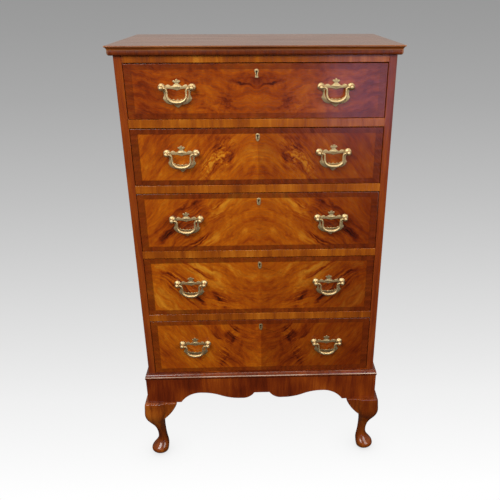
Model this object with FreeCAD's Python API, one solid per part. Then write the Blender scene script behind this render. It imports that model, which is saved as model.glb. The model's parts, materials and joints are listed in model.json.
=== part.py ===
"""Tall walnut chest of five drawers on a low cabriole-leg stand.

Millimetres, +Z up, front towards -Y.  The origin is on the floor under the
middle of the chest.
"""
import FreeCAD, Part
import os

from FreeCAD import Vector

# ---- Driving dimensions -------------------------------------------------
HEIGHT = 1220.0                 # floor to the top face
CASE_WIDTH = 674.0              # across the outside of the two sides
CASE_DEPTH = 419.0              # drawer faces to the back
KNEE_REACH = 24.0               # the knees stand this far in front of the drawer faces
TOP_THICKNESS = 10.0
TOP_OVERHANG = 16.0
NOSE_THICKNESS = 3.2            # the top's outermost edge
CORNICE_HEIGHT = 12.0
CORNICE_REACH = 11.0
SIDE_THICKNESS = 19.5
TOP_RAIL_HEIGHT = 29.0
OPENING_HEIGHTS = (132.0, 147.0, 163.0, 175.0, 177.0)   # drawer openings, top one first
RAIL_HEIGHT = 21.0
RAIL_DEPTH = 60.0
HOUSING = 8.0                   # a rail's end runs this far into each side
BOTTOM_THICKNESS = 19.0
BACK_THICKNESS = 8.0
RUNNER_WIDTH = 30.0
DUST_BOARD_THICKNESS = 5.0

# ---- Stand --------------------------------------------------------------
STAND_REACH = 9.5               # the stand is this much wider than the case all round
STAND_BOARD = 20.0
KNEE_TOP = 200.0                # underside of the apron where the legs start
LEG_POST = 49.5                 # the leg's square top, measured in from the stand's corner
EAR_REACH = 85.5                # end of a knee block, measured in from the stand's corner
EAR_THICKNESS = 22.0
EAR_PROUD = 6.0
REAR_LEG_IN = 31.5              # middle of a rear leg, in from the back

# ---- Drawers ------------------------------------------------------------
FRONT_GAP = 1.2                 # gap at each end of a drawer
TOP_GAP = 2.0                   # gap over each drawer front
FOOT_GAP = 0.8                  # gap under each drawer front
FRONT_SETBACK = 1.2             # drawer faces behind the faces of the rails
FRONT_THICKNESS = 20.0
DRAWER_LENGTH = 395.0
DRAWER_BOARD = 10.0             # sides and back
DRAWER_BOTTOM = 6.0
BOTTOM_RAISED = 8.0             # drawer bottom above the drawer's lower edge
GROOVE = 5.0
RUN_GAP = 0.5                   # a drawer's sides above the runners
DOVETAIL_DEPTH = 14.0
DOVETAIL_PITCH = 36.0
STOP_HEIGHT = 4.0

# ---- Handles, locks -----------------------------------------------------
HANDLE_X = 192.5                # handle centres either side of the middle
HANDLE_RISE = (10.0, 10.5, 10.5, 11.0, 11.0)   # posts above the middle of each front
POST_SPACING = 74.0
PLATE_THICKNESS = 2.0
POST_REACH = 16.5               # bail pivot in front of the drawer face
POST_BALL = 6.0                 # radius of the post's head
PIN_RADIUS = 1.7
PIN_CLEARANCE = 0.06
BAIL_DROP = 34.5
KEYHOLE_DROP = 24.0             # keyhole below the top of the opening
LOCK_WIDTH = 60.0
LOCK_HEIGHT = 38.0
LOCK_DEPTH = 10.0
BOLT_WIDTH = 20.0
BOLT_THICKNESS = 5.0
BOLT_HEIGHT = 26.0
BOLT_TRAVEL = 7.0

# ---- Worked out ---------------------------------------------------------
HALF_CASE = CASE_WIDTH / 2
HALF_OPENING = HALF_CASE - SIDE_THICKNESS
CASE_FRONT = -(CASE_DEPTH - KNEE_REACH) / 2
CASE_BACK = CASE_FRONT + CASE_DEPTH
CASE_TOP = HEIGHT - TOP_THICKNESS
HALF_STAND = HALF_CASE + STAND_REACH
STAND_FRONT = CASE_FRONT - STAND_REACH
FIRST_OPENING_TOP = CASE_TOP - TOP_RAIL_HEIGHT
LAST_OPENING_BOTTOM = FIRST_OPENING_TOP - sum(OPENING_HEIGHTS) - 4 * RAIL_HEIGHT
STAND_TOP = LAST_OPENING_BOTTOM - BOTTOM_THICKNESS
RAIL_BACK = CASE_FRONT + RAIL_DEPTH
DRAWER_FACE = CASE_FRONT + FRONT_SETBACK
FRONT_BACK = DRAWER_FACE + FRONT_THICKNESS      # back face of the drawer fronts
DRAWER_BACK = DRAWER_FACE + DRAWER_LENGTH
PIVOT_Y = DRAWER_FACE - POST_REACH


def openings():
    """Bottom and top height of each drawer opening, the top drawer first."""
    spans = []
    top = FIRST_OPENING_TOP
    for height in OPENING_HEIGHTS:
        spans.append((top - height, top))
        top = top - height - RAIL_HEIGHT
    return spans


# ---- Small helpers ------------------------------------------------------
def box(x0, x1, y0, y1, z0, z1):
    return Part.makeBox(x1 - x0, y1 - y0, z1 - z0, Vector(x0, y0, z0))


def both_sides(shape):
    """The shape and its mirror image across the chest's middle."""
    return [shape, shape.mirror(Vector(0, 0, 0), Vector(1, 0, 0))]


def group(shapes):
    solids = []
    for shape in shapes:
        solids.extend(shape.Solids)
    return Part.makeCompound(solids)


def save(name, shape):
    shape.exportStep("parts/" + name + ".step")


def outline(start, steps, place):
    """A closed wire. A step is (point,) for a line or (via, point) for an arc."""
    edges = []
    last = start
    for step in steps:
        if len(step) == 1:
            edges.append(Part.LineSegment(place(*last), place(*step[0])).toShape())
        else:
            edges.append(Part.Arc(place(*last), place(*step[0]), place(*step[1])).toShape())
        last = step[-1]
    if last != start:
        edges.append(Part.LineSegment(place(*last), place(*start)).toShape())
    return Part.Wire(edges)


def prism(wire, direction):
    return Part.Face(wire).extrude(direction)


def moulding(start, steps, back_at):
    """Mitred moulding round the front and both sides; a profile point is (reach, z)."""
    def at_corner(reach, z):
        return Vector(-HALF_CASE - reach, CASE_FRONT - reach, z)

    def at_other_corner(reach, z):
        return Vector(HALF_CASE + reach, CASE_FRONT - reach, z)

    def at_back(reach, z):
        return Vector(-HALF_CASE - reach, back_at, z)

    corner = outline(start, steps, at_corner)
    other = outline(start, steps, at_other_corner)
    back = outline(start, steps, at_back)
    front_run = Part.makeLoft([corner, other], True, True)
    side_run = Part.makeLoft([back, corner], True, True)
    return group([front_run] + both_sides(side_run))


# ---- Case ---------------------------------------------------------------
def top_board():
    """Top with a thin nose and a hollow cut under it on three sides."""
    half = HALF_CASE + TOP_OVERHANG
    front = CASE_FRONT - TOP_OVERHANG
    board = box(-half, half, front, CASE_BACK, CASE_TOP, HEIGHT)
    nose_edges = []
    for edge in board.Edges:
        middle = edge.CenterOfMass
        if middle.z > HEIGHT - 1 and middle.y < CASE_BACK - 1:
            nose_edges.append(edge)
    board = board.makeFillet(1.4, nose_edges)
    outside = TOP_OVERHANG + 1
    nose_bottom = HEIGHT - NOSE_THICKNESS
    below = CASE_TOP - 0.5
    steps = [
        ((TOP_OVERHANG, nose_bottom),),
        ((TOP_OVERHANG - 3.6, CASE_TOP + 4.6), (CORNICE_REACH - 0.4, CASE_TOP)),
        ((CORNICE_REACH - 0.4, below),), ((outside, below),),
    ]
    return board.cut(moulding((outside, nose_bottom), steps, CASE_BACK + 1).Solids)


def cornice_moulding():
    """Rounded moulding under the top."""
    low = CASE_TOP - CORNICE_HEIGHT
    steps = [
        ((CORNICE_REACH - 3.5, low),),
        ((CORNICE_REACH - 0.4, low + 3.6), (CORNICE_REACH, low + 8.0)),
        ((CORNICE_REACH - 0.4, CASE_TOP),), ((0.0, CASE_TOP),),
    ]
    return moulding((0.0, low), steps, CASE_BACK)


def drawer_rails():
    """The four dividers, each with a mortise for the lock bolt below it."""
    rails = []
    for bottom, top in openings()[:-1]:
        body = box(-HALF_OPENING, HALF_OPENING, CASE_FRONT, RAIL_BACK, bottom - RAIL_HEIGHT, bottom)
        reach = HALF_OPENING + HOUSING
        tongue = box(-reach, reach, CASE_FRONT + 6, RAIL_BACK, bottom - RAIL_HEIGHT + 3, bottom - 3)
        rails.append(body.fuse(tongue).removeSplitter().cut(bolt_mortise(bottom - RAIL_HEIGHT)))
    return group(rails)


def bolt_mortise(rail_underside):
    half = BOLT_WIDTH / 2 + 2
    middle = FRONT_BACK - LOCK_DEPTH / 2
    deep = BOLT_TRAVEL + 2
    return box(-half, half, middle - 4.5, middle + 4.5, rail_underside, rail_underside + deep)


def top_rail():
    rail = box(-HALF_OPENING, HALF_OPENING, CASE_FRONT, RAIL_BACK, FIRST_OPENING_TOP, CASE_TOP)
    return rail.cut(bolt_mortise(FIRST_OPENING_TOP))


def case_side(rails):
    """Right-hand side, housed for the rails and rebated for the back panel."""
    board = box(HALF_OPENING, HALF_CASE, CASE_FRONT, CASE_BACK, STAND_TOP, CASE_TOP)
    rebate = box(0, HALF_OPENING + 9, CASE_BACK - BACK_THICKNESS, CASE_BACK, STAND_TOP, CASE_TOP)
    return board.cut(rebate).cut(rails)


def back_panel():
    half = HALF_OPENING + 9
    return box(-half, half, CASE_BACK - BACK_THICKNESS, CASE_BACK, STAND_TOP, CASE_TOP)


def bottom_board():
    back = CASE_BACK - BACK_THICKNESS
    return box(-HALF_OPENING, HALF_OPENING, CASE_FRONT, back, STAND_TOP, LAST_OPENING_BOTTOM)


def drawer_runners():
    """Runners behind each divider, and the kickers that keep the top drawer level."""
    back = CASE_BACK - BACK_THICKNESS
    inner = HALF_OPENING - RUNNER_WIDTH
    strips = []
    for bottom, top in openings()[:-1]:
        strips.append(box(inner, HALF_OPENING, RAIL_BACK, back, bottom - RAIL_HEIGHT, bottom))
    strips.append(box(inner, HALF_OPENING, RAIL_BACK, back, FIRST_OPENING_TOP, CASE_TOP))
    pairs = []
    for strip in strips:
        pairs.extend(both_sides(strip))
    return group(pairs)


def dust_boards():
    half = HALF_OPENING - RUNNER_WIDTH
    back = CASE_BACK - BACK_THICKNESS
    boards = []
    for bottom, top in openings()[:-1]:
        middle = bottom - RAIL_HEIGHT / 2
        low = middle - DUST_BOARD_THICKNESS / 2
        boards.append(box(-half, half, RAIL_BACK, back, low, low + DUST_BOARD_THICKNESS))
    return group(boards)


def drawer_stops():
    """Two small blocks per level that stop the drawer front flush with the case."""
    blocks = []
    for bottom, top in openings():
        block = box(150, 190, FRONT_BACK + 0.2, FRONT_BACK + 30, bottom, bottom + STOP_HEIGHT)
        blocks.extend(both_sides(block))
    return group(blocks)


# ---- Stand --------------------------------------------------------------
def stand_moulding():
    top = LAST_OPENING_BOTTOM - 2
    nose = STAND_TOP + 7.5
    steps = [
        ((STAND_REACH, STAND_TOP),),
        ((STAND_REACH + 1.7, nose - 4.0), (STAND_REACH + 1.5, nose)),
        ((8.0, top - 2.4), (0.0, top)),
    ]
    return moulding((0.0, STAND_TOP), steps, CASE_BACK)


def front_apron():
    """Front board of the stand with its wavy lower edge."""
    half_wave = [
        (246.0, KNEE_TOP), (216.0, 226.5), (180.0, 233.0), (150.0, 229.5), (122.0, 220.5),
        (92.0, 212.5), (62.0, 210.5), (37.0, 216.0), (23.0, 230.0),
    ]
    steps = [((HALF_STAND, STAND_TOP),), ((HALF_STAND, KNEE_TOP),), (half_wave[0],)]
    for index in range(1, len(half_wave), 2):
        steps.append((half_wave[index], half_wave[index + 1]))
    left_wave = [(-x, z) for x, z in reversed(half_wave)]
    steps.append((left_wave[0],))
    for index in range(1, len(left_wave), 2):
        steps.append((left_wave[index], left_wave[index + 1]))
    steps.append(((-HALF_STAND, KNEE_TOP),))
    wire = outline((-HALF_STAND, STAND_TOP), steps, lambda x, z: Vector(x, STAND_FRONT, z))
    return prism(wire, Vector(0, STAND_BOARD, 0))


def stand_side_rails():
    front = STAND_FRONT + STAND_BOARD
    post_front = front + 45
    post_back = CASE_BACK - 75
    middle = (post_front + post_back) / 2
    steps = [
        ((front, KNEE_TOP),), ((post_front, KNEE_TOP),),
        ((middle, KNEE_TOP + 26), (post_back, KNEE_TOP)),
        ((CASE_BACK, KNEE_TOP),), ((CASE_BACK, STAND_TOP),),
    ]
    wire = outline((front, STAND_TOP), steps, lambda y, z: Vector(HALF_STAND - STAND_BOARD, y, z))
    return group(both_sides(prism(wire, Vector(STAND_BOARD, 0, 0))))


def stand_back_rail():
    half = HALF_STAND - LEG_POST
    return box(-half, half, CASE_BACK - STAND_BOARD, CASE_BACK, KNEE_TOP + 4, STAND_TOP)


def rounded_square(centre, half, roundness):
    """Square with rounded corners, flat at the height of its centre."""
    radius = half * roundness
    flat = half - radius
    bulge = flat + radius * 0.70711
    edges = []
    for sx, sy in ((1, -1), (1, 1), (-1, 1), (-1, -1)):
        if sx * sy < 0:
            first = Vector(sx * flat, sy * half, 0)
            last = Vector(sx * half, sy * flat, 0)
        else:
            first = Vector(sx * half, sy * flat, 0)
            last = Vector(sx * flat, sy * half, 0)
        via = Vector(sx * bulge, sy * bulge, 0)
        edges.append((centre + first, centre + via, centre + last))
    loop = []
    for index in range(4):
        first, via, last = edges[index]
        loop.append(Part.Arc(first, via, last).toShape())
        loop.append(Part.LineSegment(last, edges[(index + 1) % 4][0]).toShape())
    return Part.Wire(loop)


# Height, reach beyond the stand's corner, reach in from it, corner roundness.
LEG_SECTIONS = (
    (KNEE_TOP, 10.0, 50.0, 0.22),
    (180.0, 12.8, 49.5, 0.28),
    (160.0, 14.3, 47.5, 0.36),
    (142.0, 12.0, 43.5, 0.48),
    (122.0, 3.5, 40.5, 0.62),
    (100.0, -7.0, 39.5, 0.78),
    (78.0, -13.0, 40.0, 0.9),
    (58.0, -14.5, 41.5, 0.97),
    (44.0, -12.0, 43.5, 0.97),
    (30.0, -2.0, 46.0, 0.97),
    (18.0, 7.5, 45.5, 0.97),
    (7.0, 5.5, 43.5, 0.97),
    (0.0, -4.0, 34.0, 0.97),
)


def leg_shaft(rings):
    """Smooth shaft through its sections, cut level where it stands."""
    shaft = Part.makeLoft(rings, True, False)
    return shaft.common(box(0, 2 * HALF_STAND, -CASE_DEPTH, CASE_DEPTH, 0, KNEE_TOP))


def front_leg():
    """Right front leg. It bows out towards the corner, so x and y move together."""
    rings = []
    for z, beyond, within, roundness in LEG_SECTIONS:
        offset = (beyond - within) / 2
        centre = Vector(HALF_STAND + offset, STAND_FRONT - offset, z)
        rings.append(rounded_square(centre, (beyond + within) / 2, roundness))
    shaft = leg_shaft(rings)
    inner = HALF_STAND - STAND_BOARD
    outer_y = STAND_FRONT + STAND_BOARD
    post = box(HALF_STAND - LEG_POST, inner, outer_y, STAND_FRONT + LEG_POST, KNEE_TOP, STAND_TOP)
    return shaft.fuse(post)


def rear_leg():
    """Right rear leg. It bows out sideways only, so that its back stays flat to a wall."""
    rings = []
    for z, beyond, within, roundness in LEG_SECTIONS:
        offset = (beyond - within) / 2
        half = (beyond + within) / 2
        centre = Vector(HALF_STAND + offset, CASE_BACK - REAR_LEG_IN, z)
        rings.append(rounded_square(centre, half, roundness))
    shaft = leg_shaft(rings)
    inner = HALF_STAND - STAND_BOARD
    post = box(HALF_STAND - LEG_POST, inner, CASE_BACK - LEG_POST, CASE_BACK, KNEE_TOP, STAND_TOP)
    return shaft.fuse(post)


def ear_profile(place, depth):
    """Knee block; place takes (distance in from the stand's corner, z)."""
    start = (LEG_POST - 12, KNEE_TOP)
    steps = [((EAR_REACH, KNEE_TOP),), ((EAR_REACH, KNEE_TOP - 5),), ((70.5, 168.5), (42.0, 139.0)),
             ((LEG_POST - 12, 139.0),)]
    return prism(outline(start, steps, place), depth)


def knee_blocks(leg, rear):
    """Shaped ears beside each leg, under the apron and the side rails."""
    y_ear = STAND_FRONT - EAR_PROUD
    x_ear = HALF_STAND + EAR_PROUD
    front = ear_profile(lambda d, z: Vector(HALF_STAND - d, y_ear, z), Vector(0, EAR_THICKNESS, 0))
    side = ear_profile(lambda d, z: Vector(x_ear, STAND_FRONT + d, z), Vector(-EAR_THICKNESS, 0, 0))
    back = ear_profile(lambda d, z: Vector(x_ear, CASE_BACK - 12 - d, z), Vector(-EAR_THICKNESS, 0, 0))
    blocks = []
    for block, cutter in ((front, leg), (side, leg), (back, rear)):
        pieces = block.cut(cutter).Solids
        pieces.sort(key=lambda solid: solid.Volume)
        blocks.extend(both_sides(pieces[-1]))
    return group(blocks)


# ---- Drawers ------------------------------------------------------------
def dovetails(bottom, top):
    """Tails at the front end of the right drawer side, as solids."""
    low = bottom + RUN_GAP
    high = top - 6
    count = max(2, round((high - low - 16) / DOVETAIL_PITCH))
    pitch = (high - low) / count
    y_wide = FRONT_BACK - DOVETAIL_DEPTH
    x0 = HALF_OPENING - FRONT_GAP - DRAWER_BOARD
    tails = []
    for index in range(count):
        middle = low + pitch * (index + 0.5)
        wide = pitch * 0.5 - 4
        narrow = wide - 2.5
        corners = [
            Vector(x0, y_wide, middle - wide), Vector(x0, FRONT_BACK, middle - narrow),
            Vector(x0, FRONT_BACK, middle + narrow), Vector(x0, y_wide, middle + wide),
        ]
        tail = Part.Face(Part.makePolygon(corners + corners[:1])).extrude(Vector(DRAWER_BOARD, 0, 0))
        tails.append(tail)
    return tails


def drawer_bottom(bottom):
    low = bottom + BOTTOM_RAISED
    half = HALF_OPENING - FRONT_GAP - DRAWER_BOARD + GROOVE
    front = FRONT_BACK - GROOVE
    return box(-half, half, front, DRAWER_BACK, low, low + DRAWER_BOTTOM)


def drawer_box(bottom, top):
    """Two dovetailed sides and the back board above the drawer bottom."""
    outer = HALF_OPENING - FRONT_GAP
    inner = outer - DRAWER_BOARD
    side = box(inner, outer, FRONT_BACK, DRAWER_BACK, bottom + RUN_GAP, top - 6)
    side = side.fuse(dovetails(bottom, top)).removeSplitter()
    low = bottom + BOTTOM_RAISED + DRAWER_BOTTOM
    rear_face = DRAWER_BACK - 18
    rear = box(-inner - 4, inner + 4, rear_face, rear_face + DRAWER_BOARD, low, top - 12)
    side = side.cut(drawer_bottom(bottom)).cut(rear)
    return group(both_sides(side) + [rear])


def keyhole(middle_z, y0, y1):
    """Round hole with a slot under it, along Y."""
    hole = Part.makeCylinder(2.4, y1 - y0, Vector(0, y0, middle_z + 3), Vector(0, 1, 0))
    slot = box(-1.2, 1.2, y0, y1, middle_z - 6, middle_z + 3)
    return hole.fuse(slot)


def handle_points(level, bottom, top):
    z = (bottom + top) / 2 + HANDLE_RISE[level]
    return [Vector(-HANDLE_X, DRAWER_FACE, z), Vector(HANDLE_X, DRAWER_FACE, z)]


def post_centres(centre):
    half = Vector(POST_SPACING / 2, 0, 0)
    return [centre - half, centre + half]


def drawer_front(level, bottom, top):
    """Front board with its dovetail sockets, lock recess, keyhole and handle holes."""
    half = HALF_OPENING - FRONT_GAP
    low = bottom + FOOT_GAP
    high = top - TOP_GAP
    board = box(-half, half, DRAWER_FACE, FRONT_BACK, low, high)
    for tail in dovetails(bottom, top):
        for socket in both_sides(tail):
            board = board.cut(socket)
    recess = box(-LOCK_WIDTH / 2, LOCK_WIDTH / 2, FRONT_BACK - LOCK_DEPTH, FRONT_BACK, high - LOCK_HEIGHT, high)
    board = board.cut(recess).cut(keyhole(top - KEYHOLE_DROP, DRAWER_FACE, FRONT_BACK))
    for centre in handle_points(level, bottom, top):
        for post in post_centres(centre):
            board = board.cut(Part.makeCylinder(2.5, FRONT_THICKNESS, post, Vector(0, 1, 0)))
    return board.cut(drawer_bottom(bottom))


def drawer_lock(top):
    """Brass lock case with a pocket for its bolt."""
    high = top - TOP_GAP
    middle = FRONT_BACK - LOCK_DEPTH / 2
    case = box(-LOCK_WIDTH / 2, LOCK_WIDTH / 2, FRONT_BACK - LOCK_DEPTH, FRONT_BACK, high - LOCK_HEIGHT, high)
    half = BOLT_WIDTH / 2 + 0.3
    thick = BOLT_THICKNESS / 2 + 0.3
    pocket = box(-half, half, middle - thick, middle + thick, high - BOLT_HEIGHT - 4, high)
    case = case.cut(pocket)
    return case.cut(keyhole(top - KEYHOLE_DROP, FRONT_BACK - LOCK_DEPTH, middle))


def drawer_lock_bolt(top):
    high = top - TOP_GAP - 0.4
    middle = FRONT_BACK - LOCK_DEPTH / 2
    half = BOLT_WIDTH / 2
    thick = BOLT_THICKNESS / 2
    return box(-half, half, middle - thick, middle + thick, high - BOLT_HEIGHT, high)


# ---- Handles ------------------------------------------------------------
def backplate(centre):
    """Pierced brass plate behind one handle, its centre midway between the posts."""
    half_post = POST_SPACING / 2
    y = DRAWER_FACE - PLATE_THICKNESS

    def place(x, z):
        return Vector(centre.x + x, y, centre.z + z)

    half_outline = [
        (0.0, 18.0), (2.3, 16.6), (2.4, 14.4), (7.4, 15.4), (8.8, 11.4), (4.8, 9.6), (4.0, 7.0),
        (7.0, 4.0), (12.0, 2.8), (17.5, 3.6), (22.0, 6.6), (25.6, 6.2), (27.6, 2.6),
    ]
    steps = []
    for index in range(1, len(half_outline), 2):
        steps.append((half_outline[index], half_outline[index + 1]))
    steps.append(((half_post - 1, 9.0), (half_post + 8.7, -0.4)))
    steps.append(((half_post + 3.5, -7.6), (half_post - 3.0, -8.2)))
    steps.append(((half_post - 4.6, -16.0), (half_post - 1.8, -24.5)))
    steps.append(((24.0, -38.5), (6.5, -43.0)))
    steps.append(((0.0, -48.0),))
    left = []
    last = (0.0, 18.0)
    for step in steps:
        left.append((last, step))
        last = step[-1]
    for begin, step in reversed(left):
        ends = [(-x, z) for x, z in step[:-1]] + [(-begin[0], begin[1])]
        steps.append(tuple(ends))
    plate = prism(outline((0.0, 18.0), steps, place), Vector(0, PLATE_THICKNESS, 0))
    window_steps = [
        ((12.0, -3.6), (25.0, -3.6)), ((27.4, -12.0), (26.0, -20.5)), ((21.0, -26.5), (15.0, -25.5)),
        ((8.0, -30.5), (0.0, -27.5)), ((-8.0, -30.5), (-15.0, -25.5)), ((-21.0, -26.5), (-26.0, -20.5)),
        ((-27.4, -12.0), (-25.0, -3.6)), ((-12.0, -3.6), (0.0, -7.0)),
    ]
    window = prism(outline((0.0, -7.0), window_steps, place), Vector(0, PLATE_THICKNESS, 0))
    plate = plate.cut(window)
    for post in post_centres(centre):
        hole = Part.makeCylinder(2.5, PLATE_THICKNESS, Vector(post.x, y, post.z), Vector(0, 1, 0))
        plate = plate.cut(hole)
    return plate


def post(foot, inward):
    """Turned handle post and its shank; the bail's pin enters its ball from one side."""
    back = Vector(0, 1, 0)
    y = foot.y - PLATE_THICKNESS
    shank_back = FRONT_BACK + 9
    shank = Part.makeCylinder(2.4, shank_back - y, Vector(foot.x, y, foot.z), back)
    collar = Part.makeCone(4.2, 3.0, 5.0, Vector(foot.x, y, foot.z), Vector(0, -1, 0))
    neck = Part.makeCylinder(3.0, y - PIVOT_Y, Vector(foot.x, PIVOT_Y, foot.z), back)
    ball = Part.makeSphere(POST_BALL, Vector(foot.x, PIVOT_Y, foot.z))
    bore = Part.makeCylinder(PIN_RADIUS + PIN_CLEARANCE, 9.0, Vector(foot.x - 1.0 * inward, PIVOT_Y, foot.z),
                             Vector(inward, 0, 0))
    return shank.fuse([collar, neck, ball]).removeSplitter().cut(bore)


def post_nut(foot):
    """Round brass nut inside the drawer; its hole is the size of the shank."""
    start = Vector(foot.x, FRONT_BACK, foot.z)
    nut = Part.makeCylinder(6.0, 4.0, start, Vector(0, 1, 0))
    return nut.cut(Part.makeCylinder(2.4, 4.0, start, Vector(0, 1, 0)))


def escutcheon(level, top):
    """Keyhole plate: shield, keyhole shape or teardrop."""
    z = top - KEYHOLE_DROP
    thick = 1.2
    start = Vector(0, DRAWER_FACE - thick, z + 4.6)
    plate = Part.makeCylinder(5.4, thick, start, Vector(0, 1, 0))
    if level == 1:
        low_half = 4.6
        waist = 3.0
    elif level == 2:
        low_half = 1.6
        waist = 4.6
    else:
        low_half = 4.4
        waist = 5.0
    corners = [(-5.0, 3.0), (-waist, -3.0), (-low_half, -10.2), (low_half, -10.2), (waist, -3.0), (5.0, 3.0)]
    points = [Vector(x, DRAWER_FACE - thick, z + dz) for x, dz in corners]
    tail = Part.Face(Part.makePolygon(points + points[:1])).extrude(Vector(0, thick, 0))
    plate = plate.fuse(tail).removeSplitter()
    return plate.cut(keyhole(z, DRAWER_FACE - thick, DRAWER_FACE))


def drawer_hardware(level, bottom, top):
    pieces = [escutcheon(level, top)]
    for centre in handle_points(level, bottom, top):
        pieces.append(backplate(centre))
        for foot, inward in zip(post_centres(centre), (1, -1)):
            pieces.append(post(foot, inward))
            pieces.append(post_nut(foot))
    return group(pieces)


def bail_line(centre):
    """Middle line of a hanging bail from one post to the other."""
    half = [(30.5, 0.0), (26.2, -1.2), (23.6, -6.0), (23.4, -13.0), (23.6, -20.0), (20.2, -27.5), (12.0, -32.6)]
    points = [Vector(centre.x - x, PIVOT_Y, centre.z + z) for x, z in half]
    points.append(Vector(centre.x, PIVOT_Y, centre.z - BAIL_DROP))
    points.extend([Vector(centre.x + x, PIVOT_Y, centre.z + z) for x, z in reversed(half)])
    curve = Part.BSplineCurve()
    curve.interpolate(points)
    return curve


def ring(centre, tangent, radius):
    """Circle square to the bail's line; every ring starts at its front so that none twists."""
    forward = Vector(0, -radius, 0)
    across = tangent.cross(Vector(0, -1, 0)).normalize() * radius
    first = Part.Arc(centre + forward, centre + across, centre - forward).toShape()
    second = Part.Arc(centre - forward, centre - across, centre + forward).toShape()
    return Part.Wire([first, second])


def bail(centre):
    """Swing handle: slender at its ends, thickest at the grip, with a pin in each post."""
    curve = bail_line(centre)
    rings = []
    count = 28
    for index in range(count + 1):
        share = index / count
        at = curve.FirstParameter + share * (curve.LastParameter - curve.FirstParameter)
        fullness = 1 - abs(2 * share - 1)
        radius = 2.1 + 1.6 * fullness * fullness * (3 - 2 * fullness)
        rings.append(ring(curve.value(at), curve.tangent(at)[0], radius))
    grip = Part.makeLoft(rings, True, False)
    pins = []
    for end, inward in zip(post_centres(centre), (1, -1)):
        start = Vector(end.x, PIVOT_Y, end.z)
        length = POST_SPACING / 2 - 29.5
        pins.append(Part.makeCylinder(PIN_RADIUS, length, start, Vector(inward, 0, 0)))
    return grip.fuse(pins)


# ---- Write every piece --------------------------------------------------
def write_case():
    rails = drawer_rails()
    right = case_side(rails)
    save("top_board", top_board())
    save("cornice_moulding", cornice_moulding())
    save("right_side", right)
    save("left_side", both_sides(right)[1])
    save("back_panel", back_panel())
    save("top_rail", top_rail())
    save("drawer_rails", rails)
    save("bottom_board", bottom_board())
    save("drawer_runners", drawer_runners())
    save("dust_boards", dust_boards())
    save("drawer_stops", drawer_stops())


def write_stand():
    leg = front_leg()
    rear = rear_leg()
    save("stand_moulding", stand_moulding())
    save("front_apron", front_apron())
    save("stand_side_rails", stand_side_rails())
    save("stand_back_rail", stand_back_rail())
    save("front_right_leg", leg)
    save("front_left_leg", both_sides(leg)[1])
    save("rear_right_leg", rear)
    save("rear_left_leg", both_sides(rear)[1])
    save("knee_blocks", knee_blocks(leg, rear))


def write_drawer(level, bottom, top):
    name = "drawer_" + str(level + 1)
    left, right = handle_points(level, bottom, top)
    save(name + "_front", drawer_front(level, bottom, top))
    save(name + "_box", drawer_box(bottom, top))
    save(name + "_bottom", drawer_bottom(bottom))
    save(name + "_hardware", drawer_hardware(level, bottom, top))
    save(name + "_left_bail", bail(left))
    save(name + "_right_bail", bail(right))
    save(name + "_lock", drawer_lock(top))
    save(name + "_lock_bolt", drawer_lock_bolt(top))


os.makedirs("parts", exist_ok=True)
write_case()
write_stand()
for drawer_level, (opening_bottom, opening_top) in enumerate(openings()):
    write_drawer(drawer_level, opening_bottom, opening_top)
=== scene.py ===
import json
from math import atan2, cos, pi, radians, sin, tan
import bpy
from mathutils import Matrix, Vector


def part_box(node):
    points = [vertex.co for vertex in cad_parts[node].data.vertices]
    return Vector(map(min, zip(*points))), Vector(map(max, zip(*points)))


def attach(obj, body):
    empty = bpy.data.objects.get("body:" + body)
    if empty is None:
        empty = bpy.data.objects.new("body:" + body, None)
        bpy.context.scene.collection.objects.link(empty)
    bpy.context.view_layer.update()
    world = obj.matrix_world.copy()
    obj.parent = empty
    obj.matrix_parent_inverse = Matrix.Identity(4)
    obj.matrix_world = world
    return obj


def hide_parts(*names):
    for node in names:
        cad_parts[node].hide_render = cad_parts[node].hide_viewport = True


# A tall chest of five drawers on a cabriole-leg stand: figured walnut veneers under French polish,
# with aged brass swan-neck handles.
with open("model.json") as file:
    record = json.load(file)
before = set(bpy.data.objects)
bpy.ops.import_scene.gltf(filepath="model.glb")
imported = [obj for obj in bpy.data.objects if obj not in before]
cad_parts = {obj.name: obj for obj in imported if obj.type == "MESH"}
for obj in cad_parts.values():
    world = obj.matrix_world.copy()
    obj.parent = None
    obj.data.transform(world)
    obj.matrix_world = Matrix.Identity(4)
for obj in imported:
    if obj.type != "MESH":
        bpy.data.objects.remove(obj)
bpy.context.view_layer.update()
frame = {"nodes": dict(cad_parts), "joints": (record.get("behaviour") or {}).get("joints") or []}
nodes = frame["nodes"]
DRAWERS = (1, 2, 3, 4, 5)
MM = 0.001
ON_FACE = 0.1 * MM              # how near a plane an edge must be to count as lying in it


def linear(code):
    """sRGB hex value as a linear colour."""
    shares = [int(code[i:i + 2], 16) / 255 for i in (0, 2, 4)]
    lit = [c / 12.92 if c <= 0.04045 else ((c + 0.055) / 1.055) ** 2.4 for c in shares]
    return (lit[0], lit[1], lit[2], 1.0)


def add(tree, kind, inputs=(), stops=None, **settings):
    """Adds a shader node. inputs fills its sockets, by order or by name, with values or links."""
    made = tree.nodes.new("ShaderNode" + kind)
    for name, value in settings.items():
        setattr(made, name, value)
    if stops:
        marks = made.color_ramp.elements
        while len(marks) < len(stops):
            marks.new(1.0)
        for mark, (position, code) in zip(marks, stops):
            mark.position = position
            mark.color = linear(code)
    filled = inputs.items() if isinstance(inputs, dict) else enumerate(inputs)
    for socket, value in filled:
        if isinstance(value, bpy.types.Node):
            value = value.outputs[0]
        if isinstance(value, bpy.types.NodeSocket):
            tree.links.new(value, made.inputs[socket])
        else:
            made.inputs[socket].default_value = value
    return made


def new_tree(name):
    """A new material with an empty node tree, and that tree."""
    material = bpy.data.materials.new(name)
    material.use_nodes = True
    material.node_tree.nodes.clear()
    return material, material.node_tree


# ---- Woods --------------------------------------------------------------
PORE_DEPTH = 0.05 * MM
NOSE_RISE = 8.4 * MM            # height of the turn of the stand's moulding over its foot


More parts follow.
